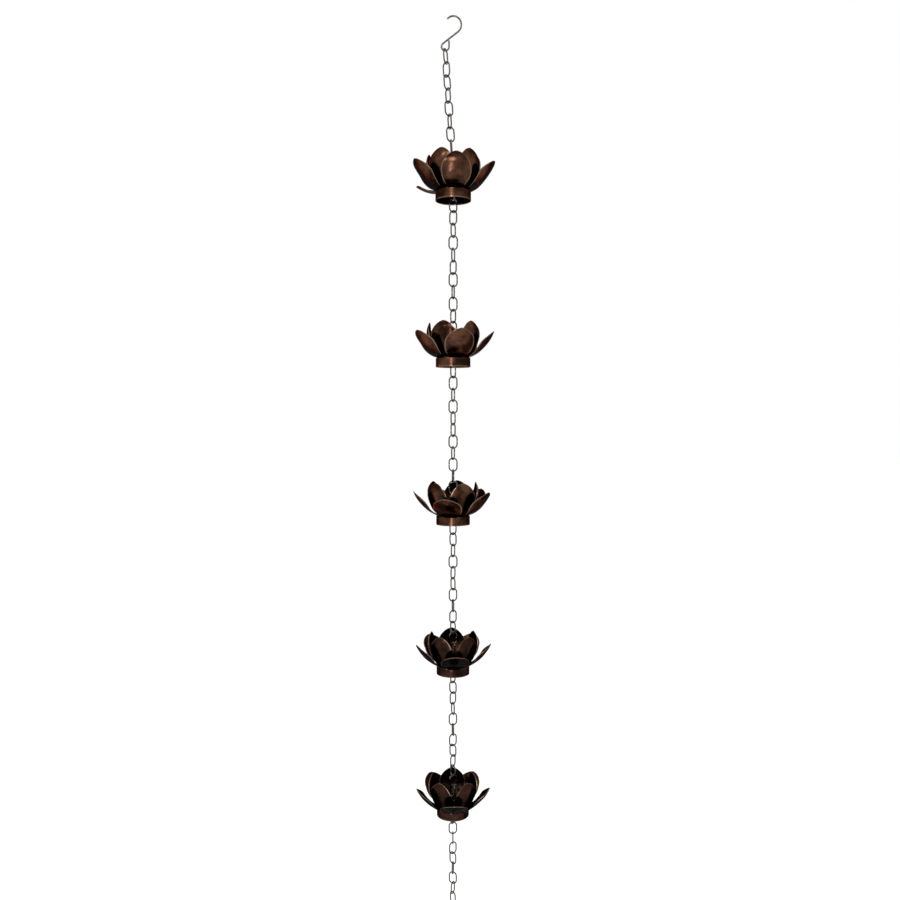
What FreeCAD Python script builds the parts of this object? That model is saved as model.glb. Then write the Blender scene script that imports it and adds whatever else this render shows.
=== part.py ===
import FreeCAD, Part
import math
import os

os.makedirs("parts", exist_ok=True)

# Rain chain with five lotus cups. Millimetres, +Z up.
# The origin is where the hook bears on its support: the inside top of the hook's arc.
# The chain faces -Y, so +X is the right-hand side.

# Hook
hook_wire = 2.2
hook_arc_radius = 10.5
hook_tip_angle = 138.0
hook_arc_end = -54.0
hook_stem_length = 24.2
hook_eye_radius = 4.9
hook_eye_clearance = 0.2

# Links
link_wire = 2.0
link_inner_length = 16.25
link_outer_width = 13.2
link_seat = 0.15
link_butt_gap = 0.4

# Wire hangers inside the cups
hanger_wire = 2.0
hanger_height = 27.8
hanger_top_eye_radius = 4.6
hanger_low_eye_radius = 5.2
hanger_seat = 0.15

# Cup collars
collar_radius = 24.0
collar_height = 13.0
collar_wall = 1.0
collar_shoulder = 2.0
drain_radius = 3.5

# Petal rings, each stamped from one sheet
petals_per_ring = 5
petal_sheet = 0.9
open_root = 19.0
upright_root = 16.5
petal_root_half_width = 9.0
petal_half_width = 20.0
petal_dish_radius = 36.0

# Petal profiles as reach from the cup's axis and height above the ring's floor
open_profile = [(24.0, 0.9), (32.0, 4.6), (40.0, 10.5), (48.0, 19.2), (53.5, 27.5), (56.5, 34.5)]
cupped_profile = [(22.5, 3.0), (29.0, 10.0), (34.3, 19.0), (36.6, 28.5), (35.9, 38.0), (32.6, 46.5)]
lowered_profile = [(25.0, 0.7), (34.2, 2.0), (43.8, 4.0), (53.0, 7.0), (61.5, 11.0), (69.0, 16.0)]
spread_profile = [(24.2, 0.8), (32.8, 3.7), (41.5, 8.6), (50.0, 15.2), (56.8, 21.7), (61.8, 27.6)]
raised_profile = [(25.5, 1.8), (33.8, 6.4), (40.4, 14.0), (43.2, 23.2), (42.2, 32.2), (38.2, 40.2)]

# Half width of a petal along its length, as shares of the length and of the widest half width
petal_outline = [
    (0.03, 0.49), (0.07, 0.55), (0.14, 0.67), (0.30, 0.89), (0.50, 1.0),
    (0.70, 0.93), (0.85, 0.70), (0.94, 0.44), (1.0, 0.08),
]
open_dish_share = 0.60
cupped_dish_share = 0.35
petal_root_slope = 8.0

# Turn of each link about the chain, in degrees, from the top link down
run_link_turns = [
    [65, 135, 45, 120, 30, 110, 30, 95, 10, 100],
    [30, 145, 60, 0, 70, 135, 15, 105, 20, 125, 35, 115],
    [55, 160, 70, 0, 60, 120, 0, 70, 170, 80, 170, 85],
    [40, 140, 65, 0, 60, 120, 20, 100, 35, 125, 30, 120],
    [55, 145, 45, 110, 15, 100, 30, 140, 55, 125, 35, 125],
    [65, 5, 90, 30, 140, 80, 160, 65, 130],
]

# Turn of each cup about the chain, and the profile of each open petal, used again from the first at its end
cup_turns = [60.0, 66.0, 43.0, 58.0, 56.0]
open_ring_profiles = [
    [open_profile, lowered_profile, open_profile, raised_profile, open_profile],
    [open_profile],
    [open_profile, open_profile, open_profile, spread_profile, open_profile],
    [open_profile, open_profile, open_profile, spread_profile, open_profile],
    [open_profile, open_profile, open_profile, spread_profile, open_profile],
]

# Values that follow from the sizes above
link_pitch = link_inner_length - link_seat
link_bend_radius = (link_outer_width - link_wire) / 2
link_straight = link_inner_length + link_wire - 2 * link_bend_radius
petal_step = 360.0 / petals_per_ring
top_run_drop = len(run_link_turns[0]) * link_pitch - link_seat - hook_wire / 2 - hanger_wire / 2
cup_run_drop = len(run_link_turns[1]) * link_pitch - link_seat - hanger_wire
low_eye_reach = hanger_low_eye_radius + hanger_wire / 2 + hanger_seat
collar_cap_rise = math.sqrt(low_eye_reach ** 2 - drain_radius ** 2)


def point(x, z):
    return FreeCAD.Vector(x, 0, z)


def on_circle(centre, radius, angle):
    turn = math.radians(angle)
    return point(centre.x + radius * math.cos(turn), centre.z + radius * math.sin(turn))


def arc_edge(centre, radius, start, end):
    middle = on_circle(centre, radius, (start + end) / 2)
    return Part.Arc(on_circle(centre, radius, start), middle, on_circle(centre, radius, end)).toShape()


def line_edge(start, end):
    return Part.LineSegment(start, end).toShape()


def bent_wire(edges, wire_size):
    path = Part.Wire(edges)
    start = edges[0].valueAt(edges[0].FirstParameter)
    heading = edges[0].tangentAt(edges[0].FirstParameter)
    section = Part.Wire(Part.makeCircle(wire_size / 2, start, heading))
    return path.makePipeShell([section], True, False)


def ring(centre, radius, wire_size):
    return Part.makeTorus(radius, wire_size / 2, centre, FreeCAD.Vector(0, 1, 0))


# Hook: an open arc, a straight stem and a closed teardrop eye in one wire
arc_centre = point(0, hook_wire / 2 - hook_arc_radius)
stem_start = on_circle(arc_centre, hook_arc_radius, hook_arc_end)
stem_turn = math.radians(hook_arc_end)
stem_heading = point(math.sin(stem_turn), -math.cos(stem_turn))
stem_side = point(-stem_heading.z, stem_heading.x)
stem_end = stem_start + stem_heading * hook_stem_length
eye_centre = stem_end + stem_side * hook_eye_radius
eye_start_angle = math.degrees(math.atan2(-stem_side.z, -stem_side.x))


def make_hook():
    eye_right = eye_centre.x + hook_eye_radius
    stem_slope = stem_heading.z / stem_heading.x
    stem_height = stem_start.z + (eye_right - stem_start.x) * stem_slope
    stem_thickness = hook_wire / 2 / abs(stem_heading.x) + hook_wire / 2 * abs(stem_slope)
    eye_top = point(eye_right, stem_height - stem_thickness - hook_eye_clearance)
    edges = [
        arc_edge(arc_centre, hook_arc_radius, hook_tip_angle, hook_arc_end),
        line_edge(stem_start, stem_end),
        arc_edge(eye_centre, hook_eye_radius, eye_start_angle, 360.0),
        line_edge(point(eye_right, eye_centre.z), eye_top),
    ]
    return bent_wire(edges, hook_wire)


def make_link():
    # One oval link about its own middle, in the XZ plane: a bend at each end and two straight sides,
    # with the wire's ends butted in the right-hand side
    bends = []
    for height, turn in ((link_straight / 2, 0), (-link_straight / 2, 180)):
        section = Part.Face(Part.Wire(Part.makeCircle(link_wire / 2, point(link_bend_radius, 0))))
        bend = section.revolve(point(0, 0), FreeCAD.Vector(0, -1, 0), 180)
        bend.rotate(point(0, 0), FreeCAD.Vector(0, 1, 0), turn)
        bend.translate(point(0, height))
        bends.append(bend)
    sides = []
    for reach in (-link_bend_radius, link_bend_radius):
        sides.append(Part.makeCylinder(link_wire / 2, link_straight, point(reach, -link_straight / 2)))
    butt = Part.makeCylinder(link_wire, link_butt_gap, point(link_bend_radius, -link_butt_gap / 2))
    return bends[0].fuse(bends[1:] + sides).cut(butt)


def make_run(link, turns, upper_wire, top_z):
    # Links that hang below a wire whose middle is at top_z
    first_top = top_z + (upper_wire + link_wire) / 2 + link_seat
    first_middle = first_top - link_bend_radius - link_straight / 2
    links = []
    for number, turn in enumerate(turns):
        placed = link.copy()
        placed.rotate(FreeCAD.Vector(0, 0, 0), FreeCAD.Vector(0, 0, 1), turn)
        placed.translate(point(0, first_middle - number * link_pitch))
        links.append(placed)
    return Part.makeCompound(links)


def make_hanger(top_z, turn):
    # Two closed eyes a quarter turn apart on a short stem, the top eye's wire centred at top_z
    low_z = top_z - hanger_height
    top_eye = ring(point(0, top_z - hanger_top_eye_radius), hanger_top_eye_radius, hanger_wire)
    low_eye = ring(point(0, low_z + hanger_low_eye_radius), hanger_low_eye_radius, hanger_wire)
    low_eye.rotate(FreeCAD.Vector(0, 0, 0), FreeCAD.Vector(0, 0, 1), 90)
    stem_base = low_z + 2 * hanger_low_eye_radius
    stem_length = top_z - 2 * hanger_top_eye_radius - stem_base
    stem = Part.makeCylinder(hanger_wire / 2, stem_length, point(0, stem_base))
    hanger = top_eye.fuse(stem).fuse(low_eye)
    hanger.rotate(FreeCAD.Vector(0, 0, 0), FreeCAD.Vector(0, 0, 1), turn)
    return hanger


def make_collar(cap_z):
    # Round band with a closed top, a rounded shoulder and a drain hole; cap_z is the top's underside
    top = cap_z + collar_wall
    base = top - collar_height
    inner = collar_radius - collar_wall
    inner_shoulder = collar_shoulder - collar_wall
    outer_centre = point(collar_radius - collar_shoulder, top - collar_shoulder)
    edges = [
        line_edge(point(drain_radius, cap_z), point(drain_radius, top)),
        line_edge(point(drain_radius, top), point(outer_centre.x, top)),
        arc_edge(outer_centre, collar_shoulder, 90.0, 0.0),
        line_edge(point(collar_radius, outer_centre.z), point(collar_radius, base)),
        line_edge(point(collar_radius, base), point(inner, base)),
        line_edge(point(inner, base), point(inner, outer_centre.z)),
        arc_edge(outer_centre, inner_shoulder, 0.0, 90.0),
        line_edge(point(outer_centre.x, cap_z), point(drain_radius, cap_z)),
    ]
    section = Part.Face(Part.Wire(edges))
    return section.revolve(point(0, 0), FreeCAD.Vector(0, 0, 1), 360)


def petal_section(place, heading, half_width, dish):
    # Thin crescent across the petal; dish is how far its edges rise above its middle
    across = FreeCAD.Vector(0, half_width, 0)
    rise = FreeCAD.Vector(-heading.z, 0, heading.x)
    sheet = rise * petal_sheet
    if dish == 0:
        corners = [place - across, place + across, place + across + sheet, place - across + sheet]
        return Part.makePolygon(corners + corners[:1])
    radius = (half_width ** 2 + dish ** 2) / (2 * dish)
    centre = place + rise * radius
    left = place + rise * dish - across
    right = place + rise * dish + across
    left_in = left + (centre - left) * (petal_sheet / radius)
    right_in = right + (centre - right) * (petal_sheet / radius)
    edges = [
        Part.Arc(left, place, right).toShape(),
        line_edge(right, right_in),
        Part.Arc(right_in, place + sheet, left_in).toShape(),
        line_edge(left_in, left),
    ]
    return Part.Wire(edges)


def make_petal(root, profile, dish_share):
    # Petal along +X, bent up at the edge of the ring's floor, which is at height 0
    spine = Part.BSplineCurve()
    knots = [point(root, 0)] + [point(reach, height) for reach, height in profile]
    first = on_circle(point(0, 0), 1, petal_root_slope)
    last = (knots[-1] - knots[-2]).normalize()
    spine.interpolate(Points=knots, InitialTangent=first, FinalTangent=last)
    sections = [petal_section(point(root, 0), point(1, 0), petal_root_half_width, 0)]
    for share, width_share in petal_outline:
        along = spine.parameterAtDistance(share * spine.length(), spine.FirstParameter)
        half_width = petal_half_width * width_share
        full_dish = petal_dish_radius - math.sqrt(petal_dish_radius ** 2 - half_width ** 2)
        dish = full_dish * min(1.0, share / dish_share)
        heading = FreeCAD.Vector(*spine.tangent(along)[0])
        sections.append(petal_section(spine.value(along), heading, half_width, dish))
    return Part.makeLoft(sections, True, False)


def make_petal_ring(floor_z, turn, root, profiles, dish_share):
    # Floor with one straight side for each petal, rounded between them, and a petal on each side;
    # profiles are used in turn
    corner_radius = root / math.cos(math.radians(petal_step / 2))
    corners = []
    for number in range(petals_per_ring + 1):
        angle = math.radians((number + 0.5) * petal_step)
        corners.append(FreeCAD.Vector(corner_radius * math.cos(angle), corner_radius * math.sin(angle), 0))
    floor = Part.Face(Part.makePolygon(corners)).extrude(point(0, petal_sheet))
    floor = floor.common(Part.makeCylinder(math.hypot(root, petal_root_half_width), petal_sheet))
    floor = floor.cut(Part.makeCylinder(drain_radius, petal_sheet))
    petals = []
    for number in range(petals_per_ring):
        profile = profiles[number % len(profiles)]
        petal = make_petal(root, profile, dish_share)
        petal.rotate(FreeCAD.Vector(0, 0, 0), FreeCAD.Vector(0, 0, 1), number * petal_step)
        petals.append(petal)
    blank = floor.fuse(petals)
    blank.rotate(FreeCAD.Vector(0, 0, 0), FreeCAD.Vector(0, 0, 1), turn)
    blank.translate(point(0, floor_z))
    return blank


def export(shape, name):
    volume = shape.Volume
    print(name, "solids", len(shape.Solids), "valid", shape.isValid(), "volume", round(volume, 1))
    shape.exportStep("parts/" + name + ".step")


def main():
    export(make_hook(), "hook")
    link = make_link()
    eye_wire_z = eye_centre.z - hook_eye_radius
    lean = math.asin(-eye_centre.x / top_run_drop)
    run = make_run(link, run_link_turns[0], hook_wire, eye_wire_z)
    run.translate(point(eye_centre.x, 0))
    run.rotate(point(eye_centre.x, eye_wire_z), FreeCAD.Vector(0, 1, 0), -math.degrees(lean))
    export(run, "chain_run_1")
    hanger_z = eye_wire_z - top_run_drop * math.cos(lean)
    for number, turn in enumerate(cup_turns):
        cup = "cup_" + str(number + 1)
        # The hanger's eyes stand across the link above and the link below
        hanger_turn = (run_link_turns[number][-1] - 90 + run_link_turns[number + 1][0]) / 2
        export(make_hanger(hanger_z, hanger_turn), cup + "_hanger")
        low_eye_z = hanger_z - hanger_height + hanger_low_eye_radius
        cap_z = low_eye_z + collar_cap_rise
        export(make_collar(cap_z), cup + "_collar")
        outer_floor = cap_z + collar_wall
        inner_floor = outer_floor + petal_sheet
        profiles = open_ring_profiles[number]
        open_ring = make_petal_ring(outer_floor, turn, open_root, profiles, open_dish_share)
        export(open_ring, cup + "_open_petals")
        turn += petal_step / 2
        upright_ring = make_petal_ring(inner_floor, turn, upright_root, [cupped_profile], cupped_dish_share)
        export(upright_ring, cup + "_upright_petals")
        low_wire_z = hanger_z - hanger_height
        run = make_run(link, run_link_turns[number + 1], hanger_wire, low_wire_z)
        export(run, "chain_run_" + str(number + 2))
        hanger_z = low_wire_z - cup_run_drop


main()
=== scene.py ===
import bpy
import bmesh
import math
from mathutils import Matrix, Vector, noise
from mathutils.geometry import interpolate_bezier


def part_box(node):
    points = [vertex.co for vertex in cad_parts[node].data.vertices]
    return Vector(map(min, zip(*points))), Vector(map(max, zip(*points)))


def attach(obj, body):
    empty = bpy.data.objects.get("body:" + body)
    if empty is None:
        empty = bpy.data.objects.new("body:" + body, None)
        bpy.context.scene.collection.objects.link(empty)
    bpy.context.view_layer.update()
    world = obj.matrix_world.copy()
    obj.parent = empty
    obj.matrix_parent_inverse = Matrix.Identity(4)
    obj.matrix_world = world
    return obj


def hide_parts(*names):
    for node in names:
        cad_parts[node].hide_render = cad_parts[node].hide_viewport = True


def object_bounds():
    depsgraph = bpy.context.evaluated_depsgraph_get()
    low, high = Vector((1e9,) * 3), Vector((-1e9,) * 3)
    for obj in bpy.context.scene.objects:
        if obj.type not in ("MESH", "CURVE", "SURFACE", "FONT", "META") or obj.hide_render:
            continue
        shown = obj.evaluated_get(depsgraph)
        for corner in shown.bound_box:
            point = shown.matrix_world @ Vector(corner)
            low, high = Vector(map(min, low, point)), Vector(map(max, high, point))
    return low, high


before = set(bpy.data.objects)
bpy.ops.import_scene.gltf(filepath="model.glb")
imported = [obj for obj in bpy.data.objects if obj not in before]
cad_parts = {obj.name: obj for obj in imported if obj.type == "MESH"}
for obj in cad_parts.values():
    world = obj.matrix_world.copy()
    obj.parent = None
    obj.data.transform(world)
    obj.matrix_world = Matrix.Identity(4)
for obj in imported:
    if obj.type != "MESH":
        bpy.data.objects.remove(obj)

# Rain chain: a wire hook, runs of oval links and five lotus cups, each with a hanger inside
# Metres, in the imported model's own frame
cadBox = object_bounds()
mm = 0.001
cupNames = ["cup_1", "cup_2", "cup_3", "cup_4", "cup_5"]
runNames = ["chain_run_1", "chain_run_2", "chain_run_3", "chain_run_4", "chain_run_5", "chain_run_6"]


# Node helpers

def addSockets(group, side, kind, names):
    for name in names:
        group.interface.new_socket(name=name, in_out=side, socket_type=kind)


def addMath(nodes, link, operation, *values):
    # Each value is a socket to link or a plain number
    node = nodes.new("ShaderNodeMath")
    node.operation = operation
    for socket, value in zip(node.inputs, values):
        if isinstance(value, bpy.types.NodeSocket):
            link(value, socket)
        else:
            socket.default_value = value
    return node


def addColorMix(nodes, link, factor, first, second):
    mix = nodes.new("ShaderNodeMix")
    mix.data_type = "RGBA"
    link(factor, mix.inputs["Factor"])
    link(first, mix.inputs["A"])
    link(second, mix.inputs["B"])
    return mix.outputs["Result"]


def addNoise(nodes, link, place, scale, detail):
    texture = nodes.new("ShaderNodeTexNoise")
    texture.inputs["Detail"].default_value = detail
    link(place, texture.inputs["Vector"])
    link(scale, texture.inputs["Scale"])
    return texture


# Finishes

agedMetalShape = {
    "cloudDetail": 5.0,
    "cloudRoughness": 0.62,
    "cloudFrom": 0.4,
    "cloudTo": 0.64,
    "grainDetail": 3.0,
    "wearAndHighlightGain": 1.5,
    "wearAndHighlightShift": -0.25,
    "roughnessGain": 0.16,
    "roughnessDrop": 0.08,
    "grainHeight": 0.25,
}


def buildAgedMetalGroup():
    # Dark baked finish: cloudy tone and small pits, painted shade darkening the roots, and rims worn
    # bright with a painted highlight
    shape = agedMetalShape
    group = bpy.data.node_groups.new("agedMetal", "ShaderNodeTree")
    addSockets(group, "INPUT", "NodeSocketColor", ["Dark", "Warm", "Worn And Highlight", "Painted Shade Color"])
    addSockets(
        group, "INPUT", "NodeSocketFloat", ["Rim", "Depth", "Cloud Scale", "Grain Scale", "Roughness"],
    )
    addSockets(group, "OUTPUT", "NodeSocketColor", ["Color"])
    addSockets(group, "OUTPUT", "NodeSocketFloat", ["Roughness", "Height"])
    nodes = group.nodes
    link = group.links.new
    inputs = nodes.new("NodeGroupInput").outputs
    outputs = nodes.new("NodeGroupOutput").inputs
    place = nodes.new("ShaderNodeTexCoord").outputs["Object"]

    cloudNoise = addNoise(nodes, link, place, inputs["Cloud Scale"], shape["cloudDetail"])
    cloudNoise.inputs["Roughness"].default_value = shape["cloudRoughness"]
    cloud = cloudNoise.outputs["Fac"]
    grain = addNoise(nodes, link, place, inputs["Grain Scale"], shape["grainDetail"]).outputs["Fac"]

    cloudStep = nodes.new("ShaderNodeMapRange")
    cloudStep.inputs["From Min"].default_value = shape["cloudFrom"]
    cloudStep.inputs["From Max"].default_value = shape["cloudTo"]
    link(cloud, cloudStep.inputs["Value"])
    tone = addColorMix(nodes, link, cloudStep.outputs["Result"], inputs["Dark"], inputs["Warm"])
    # Painted shade, darkest at the roots
    paintedShadeTone = addColorMix(nodes, link, inputs["Depth"], tone, inputs["Painted Shade Color"])
    # Rims worn bright; the wear also paints a highlight along them
    wearAndHighlightSpread = addMath(nodes, link, "MULTIPLY_ADD", grain, shape["wearAndHighlightGain"], shape["wearAndHighlightShift"])
    wearAndHighlight = addMath(nodes, link, "MULTIPLY", inputs["Rim"], wearAndHighlightSpread.outputs[0])
    wearAndHighlight.use_clamp = True
    link(addColorMix(nodes, link, wearAndHighlight.outputs[0], paintedShadeTone, inputs["Worn And Highlight"]), outputs["Color"])

    roughBase = addMath(nodes, link, "SUBTRACT", inputs["Roughness"], shape["roughnessDrop"])
    roughness = addMath(nodes, link, "MULTIPLY_ADD", cloud, shape["roughnessGain"], roughBase.outputs[0])
    link(roughness.outputs[0], outputs["Roughness"])
    height = addMath(nodes, link, "MULTIPLY_ADD", grain, shape["grainHeight"], cloud)
    link(height.outputs[0], outputs["Height"])
    return group


agedMetal = buildAgedMetalGroup()


def finishMaterial(name, look):
    material = bpy.data.materials.new(name)
    material.use_nodes = True
    nodes = material.node_tree.nodes
    link = material.node_tree.links.new
    shader = nodes["Principled BSDF"]
    aged = nodes.new("ShaderNodeGroup")
    aged.node_tree = agedMetal
    aged.inputs["Dark"].default_value = (*look["dark"], 1)
    aged.inputs["Warm"].default_value = (*look["warm"], 1)
    aged.inputs["Cloud Scale"].default_value = look["cloudScale"]
    aged.inputs["Grain Scale"].default_value = look["grainScale"]
    aged.inputs["Roughness"].default_value = look["roughness"]
    if look["shaped"]:
        # The meshes made here carry their own masks: rim wear that also paints a highlight, and painted
        # shade at the roots
        aged.inputs["Worn And Highlight"].default_value = (*look["wornAndHighlight"], 1)
        aged.inputs["Painted Shade Color"].default_value = (*look["paintedShadeColor"], 1)
        for attribute, socket in (("rimWearAndHighlight", "Rim"), ("rootPaintedShade", "Depth")):
            mask = nodes.new("ShaderNodeAttribute")
            mask.attribute_name = attribute
            link(mask.outputs["Fac"], aged.inputs[socket])
    bump = nodes.new("ShaderNodeBump")
    bump.inputs["Strength"].default_value = look["bumpStrength"]
    bump.inputs["Distance"].default_value = look["bumpDepth"]
    link(aged.outputs["Height"], bump.inputs["Height"])
    link(bump.outputs["Normal"], shader.inputs["Normal"])
    link(aged.outputs["Color"], shader.inputs["Base Color"])
    link(aged.outputs["Roughness"], shader.inputs["Roughness"])
    shader.inputs["Metallic"].default_value = look["metallic"]
    shader.inputs["Specular Tint"].default_value = (*look["edgeTint"], 1)
    shader.inputs["Coat Weight"].default_value = look["coat"]
    shader.inputs["Coat Roughness"].default_value = look["coatRoughness"]
    return material


petalLook = {
    "dark": (0.015, 0.006, 0.003),
    "warm": (0.09, 0.04, 0.024),
    # Worn rims, which also paint a highlight
    "wornAndHighlight": (0.34, 0.23, 0.17),
    # Painted shade colour at the roots
    "paintedShadeColor": (0.005, 0.003, 0.002),
    "edgeTint": (0.22, 0.1, 0.06),
    "cloudScale": 45.0,
    "grainScale": 1400.0,
    "roughness": 0.22,
    "shaped": True,
    "bumpStrength": 0.25,
    "bumpDepth": 0.3 * mm,
    "metallic": 1.0,
    "coat": 0.04,
    "coatRoughness": 0.1,
}
# The two lowest cups get a darker copy of the petal finish, painted shade
paintedShadePetalLook = dict(
    petalLook, dark=(0.009, 0.004, 0.003), warm=(0.038, 0.017, 0.011), wornAndHighlight=(0.24, 0.17, 0.13),
)
paintedShadeCups = ("cup_4", "cup_5")
# The inner faces are darker, painted shade inside the cups
insidePaintedShadeLook = dict(
    petalLook, dark=(0.012, 0.006, 0.004), warm=(0.04, 0.018, 0.01), roughness=0.24, coat=0.0,
)
wireLook = {
    "dark": (0.016, 0.012, 0.011),
    "warm": (0.04, 0.028, 0.023),
    "edgeTint": (0.5, 0.45, 0.42),
    "cloudScale": 300.0,
    "grainScale": 2500.0,
    "roughness": 0.28,
    "shaped": False,
    "bumpStrength": 0.25,
    "bumpDepth": 0.1 * mm,
    "metallic": 1.0,
    "coat": 1.0,
    "coatRoughness": 0.12,
}
petalFinish = finishMaterial("petalFinish", petalLook)
# Darker copy for the two lowest cups, painted shade
paintedShadePetalFinish = finishMaterial("paintedShadePetalFinish", paintedShadePetalLook)
# Darker finish for the inner faces, painted shade
insidePaintedShadeFinish = finishMaterial("insidePaintedShadeFinish", insidePaintedShadeLook)
wireFinish = finishMaterial("wireFinish", wireLook)
print("materials made")


# Mesh helpers

edgeRounding = {
    "segments": 2,
    "angle": math.radians(50),
}


def outerFinish(node):
    # The two lowest cups take the darker copy, painted shade
    return paintedShadePetalFinish if node.startswith(paintedShadeCups) else petalFinish


def newPiece(name, mesh, material, node):
    piece = bpy.data.objects.new(name, mesh)
    bpy.context.scene.collection.objects.link(piece)
    mesh.materials.append(material)
    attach(piece, "root")
    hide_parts(node)
    return piece


def meshFrom(bm, name):
    mesh = bpy.data.meshes.new(name)
    for face in bm.faces:
        face.smooth = True
    bm.to_mesh(mesh)
    bm.free()
    return mesh


def roundEdges(piece, width):
    bevel = piece.modifiers.new("rim", "BEVEL")
    bevel.width = width
    bevel.segments = edgeRounding["segments"]
    bevel.limit_method = "ANGLE"
    bevel.angle_limit = edgeRounding["angle"]


def smoothLine(points, startHeading, steps):
    # Points along a curve through the given ones, with handles a third of the way to each neighbour
    headings = [startHeading.normalized()]
    for before, after in zip(points, points[2:]):
        headings.append((after - before).normalized())
    headings.append((points[-1] - points[-2]).normalized())
    line = [points[0]]
    for number in range(len(points) - 1):
        start, end = points[number], points[number + 1]
        reach = (end - start).length / 3
        handleA = start + headings[number] * reach
        handleB = end - headings[number + 1] * reach
        line += interpolate_bezier(start, handleA, handleB, end, steps)[1:]
    return line


def alongLine(line, share):
    # Place and heading at a share of the line's length
    lengths = [(b - a).length for a, b in zip(line, line[1:])]
    left = share * sum(lengths)
    for number, length in enumerate(lengths):
        if left <= length or number == len(lengths) - 1:
            heading = (line[number + 1] - line[number]).normalized()
            return line[number] + heading * left, heading
        left -= length


# Petal rings, each one stamped sheet of five petals on a small floor with a drain hole

petalRing = {
    "count": 5,
    "sheet": 0.9 * mm,
    "rootHalfWidth": 9.0 * mm,
    "halfWidth": 20.0 * mm,
    "dishRadius": 36.0 * mm,
    "drainRadius": 3.5 * mm,
    "rootSlope": math.radians(8),
    "spineSteps": 12,
    "outlineSteps": 8,
    "columns": 20,
    "rows": 34,
    "edgeColumns": 2,
    "floorRows": 5,
    "mergeGap": 0.01 * mm,
    "edgeBevel": 0.28 * mm,
    # Small unevenness of the hand-bent sheet: its height, and how fast it changes over the petal
    "unevenness": 0.28 * mm,
    "waveAcross": 90,
    "waveAlong": 4.6,
    "waveDraw": 1.7,
    "waveRise": 4,
    # Masks for the finish: rim wear that also paints a highlight, and painted shade towards the roots
    "rimWidth": 1.3 * mm,
    "rimLength": 60 * mm,
    "paintedShadeGain": 1.25,
    # Numbers that set one petal's unevenness apart from another's
    "cupSeed": 20.0,
    "uprightSeed": 9.0,
    "petalSeed": 3.1,
}
# Share of a petal's length over which its dish grows, and share over which painted shade darkens it
# towards the root
openRing = {"dishShare": 0.60, "paintedShadeShare": 0.3}
uprightRing = {"dishShare": 0.35, "paintedShadeShare": 0.7}
# Half width of a petal along its length, as shares of the length and of the widest half width
outlineShares = [
    (0.0, 0.45), (0.03, 0.49), (0.07, 0.55), (0.14, 0.67), (0.30, 0.89), (0.50, 1.0),
    (0.70, 0.93), (0.85, 0.70), (0.94, 0.44), (0.985, 0.2), (1.0, 0.07),
]
# Petal profiles as reach from the cup's axis and height above the ring's floor, in millimetres
openProfile = [(19, 0), (24.0, 0.9), (32.0, 4.6), (40.0, 10.5), (48.0, 19.2), (53.5, 27.5), (56.5, 34.5)]
cuppedProfile = [
    (16.5, 0), (22.5, 3.0), (29.0, 10.0), (34.3, 19.0), (36.6, 28.5), (35.9, 38.0), (32.6, 46.5),
]
loweredProfile = [
    (19, 0), (25.0, 0.7), (34.2, 2.0), (43.8, 4.0), (53.0, 7.0), (61.5, 11.0), (69.0, 16.0),
]
spreadProfile = [
    (19, 0), (24.2, 0.8), (32.8, 3.7), (41.5, 8.6), (50.0, 15.2), (56.8, 21.7), (61.8, 27.6),
]
raisedProfile = [
    (19, 0), (25.5, 1.8), (33.8, 6.4), (40.4, 14.0), (43.2, 23.2), (42.2, 32.2), (38.2, 40.2),
]
cupTurns = {"cup_1": 60.0, "cup_2": 66.0, "cup_3": 43.0, "cup_4": 58.0, "cup_5": 56.0}
bentPetals = {
    "cup_1": {1: loweredProfile, 3: raisedProfile},
    "cup_3": {3: spreadProfile},
    "cup_4": {3: spreadProfile},
    "cup_5": {3: spreadProfile},
}


def outlineLine():
    points = [Vector((share, width, 0)) for share, width in outlineShares]
    line = smoothLine(points, points[1] - points[0], petalRing["outlineSteps"])
    return [(point.x, point.y) for point in line]


outline = outlineLine()


def widthAt(share):
    # Half width of the petal at a share of its length, read from its outline
    for (shareA, widthA), (shareB, widthB) in zip(outline, outline[1:]):
        if share <= shareB:
            mix = (share - shareA) / (shareB - shareA)
            return widthA + (widthB - widthA) * mix
    return outline[-1][1]


def addGrid(bm, columns, rows):
    return bmesh.ops.create_grid(bm, x_segments=columns, y_segments=rows, size=1.0)["verts"]


def addPetal(bm, rim, paintedShadeLayer, profile, kind, seed):
    ring = petalRing
    points = [Vector((reach * mm, 0, height * mm)) for reach, height in profile]
    slope = Vector((math.cos(ring["rootSlope"]), 0, math.sin(ring["rootSlope"])))
    spine = smoothLine(points, slope, ring["spineSteps"])
    for vert in addGrid(bm, ring["columns"], ring["rows"]):
        across, along = vert.co.x, (vert.co.y + 1) / 2
        place, heading = alongLine(spine, along)
        halfWidth = ring["halfWidth"] * widthAt(along)
        offset = across * halfWidth
        dish = ring["dishRadius"] - math.sqrt(ring["dishRadius"] ** 2 - offset ** 2)
        dish *= min(1.0, along / kind["dishShare"])
        rise = Vector((-heading.z, 0, heading.x))
        wave = noise.noise(Vector((
            offset * ring["waveAcross"] + seed, along * ring["waveAlong"], seed * ring["waveDraw"],
        )))
        wave *= ring["unevenness"] * min(1.0, along * ring["waveRise"])
        vert.co = place + Vector((0, offset, 0)) + rise * (dish + wave)
        edgeGap = min((1 - abs(across)) * halfWidth, (1 - along) * ring["rimLength"])
        # Rim wear along the edges, which also paints a highlight
        vert[rim] = max(0.0, 1 - edgeGap / ring["rimWidth"])
        # Painted shade towards the petal's root
        vert[paintedShadeLayer] = min(1.0, ring["paintedShadeGain"] * max(0.0, 1 - along / kind["paintedShadeShare"]))


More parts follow.
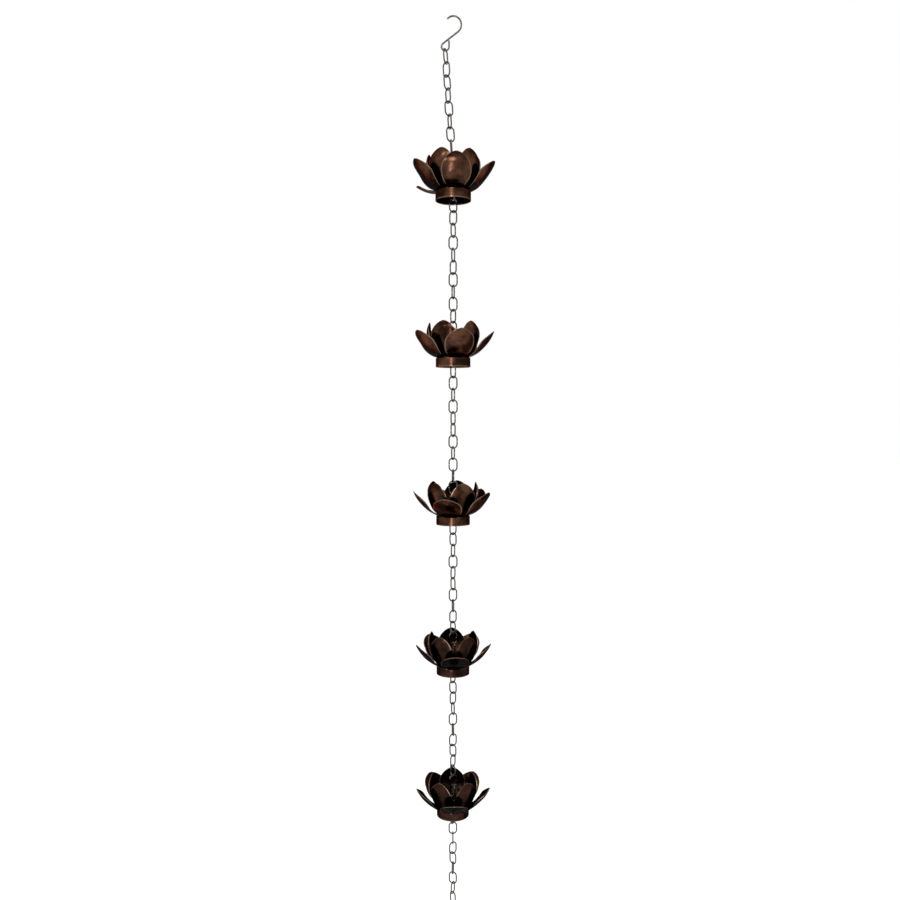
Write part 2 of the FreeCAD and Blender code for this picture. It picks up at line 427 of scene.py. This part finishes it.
def addFloorSector(bm, paintedShadeLayer, root):
    # Sheet from the drain hole out to one petal's root, with the rounded edge beside it
    ring = petalRing
    columns = ring["columns"] + 2 * ring["edgeColumns"]
    rootShare = ring["columns"] / columns
    edgeRadius = math.hypot(root, ring["rootHalfWidth"])
    rootAngle = math.atan2(ring["rootHalfWidth"], root)
    halfSector = math.pi / ring["count"]
    for vert in addGrid(bm, columns, ring["floorRows"]):
        side, outward = vert.co.x, (vert.co.y + 1) / 2
        if abs(side) <= rootShare + 1e-6:
            edge = Vector((root, side / rootShare * ring["rootHalfWidth"], 0))
        else:
            beyond = (abs(side) - rootShare) / (1 - rootShare)
            angle = math.copysign(rootAngle + (halfSector - rootAngle) * beyond, side)
            edge = Vector((math.cos(angle), math.sin(angle), 0)) * edgeRadius
        hole = Vector((math.cos(side * halfSector), math.sin(side * halfSector), 0)) * ring["drainRadius"]
        vert.co = hole.lerp(edge, outward)
        # The cup's floor is wholly in painted shade
        vert[paintedShadeLayer] = 1.0


def makePetalRing(name, node, profiles, kind, turn, seed):
    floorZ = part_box(node)[0].z
    bm = bmesh.new()
    bm.verts.layers.float.new("rimWearAndHighlight")
    bm.verts.layers.float.new("rootPaintedShade")
    # Both are looked up after the second was added, which moves the first
    rim, paintedShadeLayer = bm.verts.layers.float["rimWearAndHighlight"], bm.verts.layers.float["rootPaintedShade"]
    step = 2 * math.pi / petalRing["count"]
    for number, profile in enumerate(profiles):
        before = set(bm.verts)
        addPetal(bm, rim, paintedShadeLayer, profile, kind, seed + number * petalRing["petalSeed"])
        addFloorSector(bm, paintedShadeLayer, profile[0][0] * mm)
        added = [vert for vert in bm.verts if vert not in before]
        bmesh.ops.rotate(bm, verts=added, cent=(0, 0, 0), matrix=Matrix.Rotation(number * step, 3, "Z"))
    bmesh.ops.remove_doubles(bm, verts=bm.verts, dist=petalRing["mergeGap"])
    bmesh.ops.recalc_face_normals(bm, faces=bm.faces)
    # The sheet grows inward and up from here, so the faces look outward and down
    upward = sum(face.normal.z * face.calc_area() for face in bm.faces)
    if upward > 0:
        bmesh.ops.reverse_faces(bm, faces=bm.faces)
    bmesh.ops.rotate(bm, verts=bm.verts, cent=(0, 0, 0), matrix=Matrix.Rotation(turn, 3, "Z"))
    bmesh.ops.translate(bm, verts=bm.verts, vec=(0, 0, floorZ))
    piece = newPiece(name, meshFrom(bm, name), outerFinish(node), node)
    # The inner side of the sheet takes the darker finish, painted shade
    piece.data.materials.append(insidePaintedShadeFinish)
    wall = piece.modifiers.new("sheet", "SOLIDIFY")
    wall.thickness = petalRing["sheet"]
    wall.offset = -1
    wall.material_offset = 1
    wall.use_even_offset = True
    roundEdges(piece, petalRing["edgeBevel"])


for cupNumber, cup in enumerate(cupNames):
    turn = math.radians(cupTurns[cup])
    halfStep = math.pi / petalRing["count"]
    seed = cupNumber * petalRing["cupSeed"]
    openProfiles = [openProfile] * petalRing["count"]
    for number, profile in bentPetals.get(cup, {}).items():
        openProfiles[number] = profile
    uprightProfiles = [cuppedProfile] * petalRing["count"]
    makePetalRing(cup + "_openRing", cup + "_open_petals", openProfiles, openRing, turn, seed)
    makePetalRing(
        cup + "_uprightRing", cup + "_upright_petals", uprightProfiles, uprightRing, turn + halfStep,
        seed + petalRing["uprightSeed"],
    )
print("petal rings made")


# Collars

collarShape = {
    "radius": 24.0 * mm,
    "height": 13.0 * mm,
    "wall": 1.0 * mm,
    "shoulder": 2.0 * mm,
    "drainRadius": 3.5 * mm,
    "steps": 96,
    "shoulderSteps": 5,
    "edgeBevel": 0.25 * mm,
    # Places of the rings of points, as shares of the flat top's reach and of the height
    "topShare": 0.6,
    "outsideShares": (0.35, 0.6, 0.85, 1.0),
    "insideShares": (0.0, 0.15, 0.4, 0.65),
    # Shallow dents: their depth, and how fast they change round the collar and along it
    "dent": 0.10 * mm,
    "dentAround": 1.6,
    "dentAlong": 60,
    "dentSeed": 11.0,
    # Wear of the finish at the shoulder and at the lower edge, which also paints a highlight there
    "edgeWearAndHighlight": 0.75,
    "shoulderBand": 1.2 * mm,
    "edgeBand": 0.2 * mm,
}


def arcPoints(centre, radius, start, end, steps):
    points = []
    for number in range(steps + 1):
        angle = math.radians(start + (end - start) * number / steps)
        points.append(centre + Vector((math.cos(angle), 0, math.sin(angle))) * radius)
    return points


def collarSection(top):
    # Closed section in the XZ plane: the outside from the drain hole down, then the inside back up
    shape = collarShape
    tall = shape["height"]
    base, under = top - tall, top - shape["wall"]
    outer, inner = shape["radius"], shape["radius"] - shape["wall"]
    centre = Vector((shape["radius"] - shape["shoulder"], 0, top - shape["shoulder"]))
    flat = centre.x * shape["topShare"]
    section = [Vector((shape["drainRadius"], 0, top)), Vector((flat, 0, top))]
    section += arcPoints(centre, shape["shoulder"], 90, 0, shape["shoulderSteps"])
    section += [Vector((outer, 0, top - share * tall)) for share in shape["outsideShares"]]
    section += [Vector((inner, 0, base + share * tall)) for share in shape["insideShares"]]
    section += arcPoints(centre, shape["shoulder"] - shape["wall"], 0, 90, shape["shoulderSteps"])
    section += [Vector((flat, 0, under)), Vector((shape["drainRadius"], 0, under))]
    return section


def makeCollar(name, node, seed):
    shape = collarShape
    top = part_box(node)[1].z
    base = top - shape["height"]
    shoulderStart = shape["radius"] - shape["shoulder"]
    bm = bmesh.new()
    loop = [bm.verts.new(point) for point in collarSection(top)]
    edges = [bm.edges.new((a, b)) for a, b in zip(loop, loop[1:] + loop[:1])]
    bmesh.ops.spin(
        bm, geom=loop + edges, cent=(0, 0, 0), axis=(0, 0, 1), dvec=(0, 0, 0), angle=2 * math.pi,
        steps=shape["steps"], use_merge=True, use_duplicate=False,
    )
    rim = bm.verts.layers.float.new("rimWearAndHighlight")
    for vert in bm.verts:
        radial = Vector((vert.co.x, vert.co.y, 0)).normalized()
        wave = noise.noise(Vector((
            radial.x * shape["dentAround"], radial.y * shape["dentAround"],
            seed + vert.co.z * shape["dentAlong"],
        )))
        vert.co += radial * wave * shape["dent"]
        # Wear at the shoulder and lower edge, which also paints a highlight
        onShoulder = vert.co.xy.length > shoulderStart + shape["edgeBand"]
        nearTop = abs(vert.co.z - top) < shape["shoulderBand"] and onShoulder
        nearBase = vert.co.z < base + shape["edgeBand"]
        vert[rim] = shape["edgeWearAndHighlight"] if nearTop or nearBase else 0.0
    bmesh.ops.recalc_face_normals(bm, faces=bm.faces)
    piece = newPiece(name, meshFrom(bm, name), outerFinish(node), node)
    roundEdges(piece, shape["edgeBevel"])


for cupNumber, cup in enumerate(cupNames):
    makeCollar(cup + "_band", cup + "_collar", cupNumber * collarShape["dentSeed"])
print("collars made")


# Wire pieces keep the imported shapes

for node in ["hook"] + runNames + [cup + "_hanger" for cup in cupNames]:
    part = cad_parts[node]
    part.data.materials.clear()
    part.data.materials.append(wireFinish)
print("wire pieces finished")


# Stage: a pale floor in a plainly lit room that shows white

def seenBackground(nodes, link):
    # 1 for camera, glossy and transmission rays, which see the white background
    path = nodes.new("ShaderNodeLightPath").outputs
    seen = addMath(nodes, link, "MAXIMUM", path["Is Camera Ray"], path["Is Glossy Ray"])
    seen = addMath(nodes, link, "MAXIMUM", seen.outputs[0], path["Is Transmission Ray"])
    return seen.outputs[0]


floorLook = {
    "drop": 0.32,
    "size": 40.0,
    "color": (0.92, 0.92, 0.92),
    "roughness": 0.9,
    "specular": 0.1,
    "lift": 0.72,
}


def makeFloor():
    # Light Path lifts it to white for the camera and for gloss, and shadows still darken it
    look = floorLook
    material = bpy.data.materials.new("floorFinish")
    material.use_nodes = True
    nodes = material.node_tree.nodes
    link = material.node_tree.links.new
    shader = nodes["Principled BSDF"]
    shader.inputs["Base Color"].default_value = (*look["color"], 1)
    shader.inputs["Roughness"].default_value = look["roughness"]
    shader.inputs["Specular IOR Level"].default_value = look["specular"]
    shader.inputs["Emission Color"].default_value = (1, 1, 1, 1)
    strength = addMath(nodes, link, "MULTIPLY", seenBackground(nodes, link), look["lift"])
    link(strength.outputs[0], shader.inputs["Emission Strength"])
    bm = bmesh.new()
    bmesh.ops.create_grid(bm, x_segments=1, y_segments=1, size=look["size"] / 2)
    bmesh.ops.translate(bm, verts=bm.verts, vec=(0, 0, cadBox[0].z - look["drop"]))
    mesh = bpy.data.meshes.new("floor")
    bm.to_mesh(mesh)
    bm.free()
    mesh.materials.append(material)
    floor = bpy.data.objects.new("floor", mesh)
    bpy.context.scene.collection.objects.link(floor)


makeFloor()

worldLook = {
    "color": (0.97, 0.98, 1.0),
    "strength": 0.25,
}


def makeWorld():
    world = bpy.data.worlds.new("studio")
    bpy.context.scene.world = world
    world.use_nodes = True
    nodes = world.node_tree.nodes
    link = world.node_tree.links.new
    room = nodes["Background"]
    room.inputs["Color"].default_value = (*worldLook["color"], 1)
    room.inputs["Strength"].default_value = worldLook["strength"]
    white = nodes.new("ShaderNodeBackground")
    white.inputs["Color"].default_value = (1, 1, 1, 1)
    white.inputs["Strength"].default_value = 1.0
    mix = nodes.new("ShaderNodeMixShader")
    link(seenBackground(nodes, link), mix.inputs["Fac"])
    link(room.outputs[0], mix.inputs[1])
    link(white.outputs[0], mix.inputs[2])
    link(mix.outputs[0], nodes["World Output"].inputs["Surface"])


makeWorld()

# Lamps stand at an azimuth and elevation, in degrees, about a point at aimZ on the chain's axis.
# Together with the room's light they bring a white surface that faces them to about white.
lampColor = (1.0, 0.985, 0.96)
frontBox = {
    "azimuth": -11, "elevation": 0, "distance": 1.5, "aimZ": -0.58,
    "width": 0.2, "height": 1.45, "glow": 11.5,
}
topBox = {
    "azimuth": -12, "elevation": 38, "distance": 1.9, "aimZ": -0.4,
    "width": 0.7, "height": 0.7, "glow": 10.0,
}
sideLamp = {
    "azimuth": -42, "elevation": 34, "distance": 1.5, "aimZ": -0.45,
    "strength": 0.45, "spread": 13,
}


def towards(azimuth, elevation):
    # Azimuth 0 is the front, -Y, and grows towards +X
    azimuth, elevation = math.radians(azimuth), math.radians(elevation)
    level = math.cos(elevation)
    return Vector((math.sin(azimuth) * level, -math.cos(azimuth) * level, math.sin(elevation)))


def placeLamp(name, lamp, look):
    lamp.color = lampColor
    holder = bpy.data.objects.new(name, lamp)
    bpy.context.scene.collection.objects.link(holder)
    direction = towards(look["azimuth"], look["elevation"])
    holder.location = Vector((0, 0, look["aimZ"])) + direction * look["distance"]
    holder.rotation_euler = direction.to_track_quat("Z", "Y").to_euler()


def softBox(name, look):
    # glow is the box's own brightness beside a white surface's 1
    lamp = bpy.data.lights.new(name, "AREA")
    lamp.shape = "RECTANGLE"
    lamp.size = look["width"]
    lamp.size_y = look["height"]
    lamp.energy = look["glow"] * math.pi * look["width"] * look["height"]
    placeLamp(name, lamp, look)


def farLamp(name, look):
    lamp = bpy.data.lights.new(name, "SUN")
    lamp.energy = look["strength"]
    lamp.angle = math.radians(look["spread"])
    placeLamp(name, lamp, look)


softBox("frontBox", frontBox)
softBox("topBox", topBox)
farLamp("sideLamp", sideLamp)
print("stage and lamps made")


# Camera at the photograph's viewing angle, for a square picture

cameraLook = {
    "distance": 1.2,
    "height": -0.5153,
    "side": -0.0043,
    "pitchDown": 8.65,
    "focalPixels": 850.7,
    "centreDown": 546.2,
    "framePixels": 900.0,
    "sensor": 36.0,
    "clipEnd": 50,
}


def makeCamera(look):
    data = bpy.data.cameras.new("camera")
    data.sensor_width = look["sensor"]
    data.sensor_fit = "HORIZONTAL"
    data.lens = look["focalPixels"] / look["framePixels"] * look["sensor"]
    data.shift_y = look["centreDown"] / look["framePixels"] - 0.5
    data.clip_end = look["clipEnd"]
    holder = bpy.data.objects.new("camera", data)
    bpy.context.scene.collection.objects.link(holder)
    holder.location = (look["side"], -look["distance"], look["height"])
    holder.rotation_euler = (math.radians(90 - look["pitchDown"]), 0, 0)
    bpy.context.scene.camera = holder


makeCamera(cameraLook)
bpy.context.scene.view_settings.view_transform = "Standard"
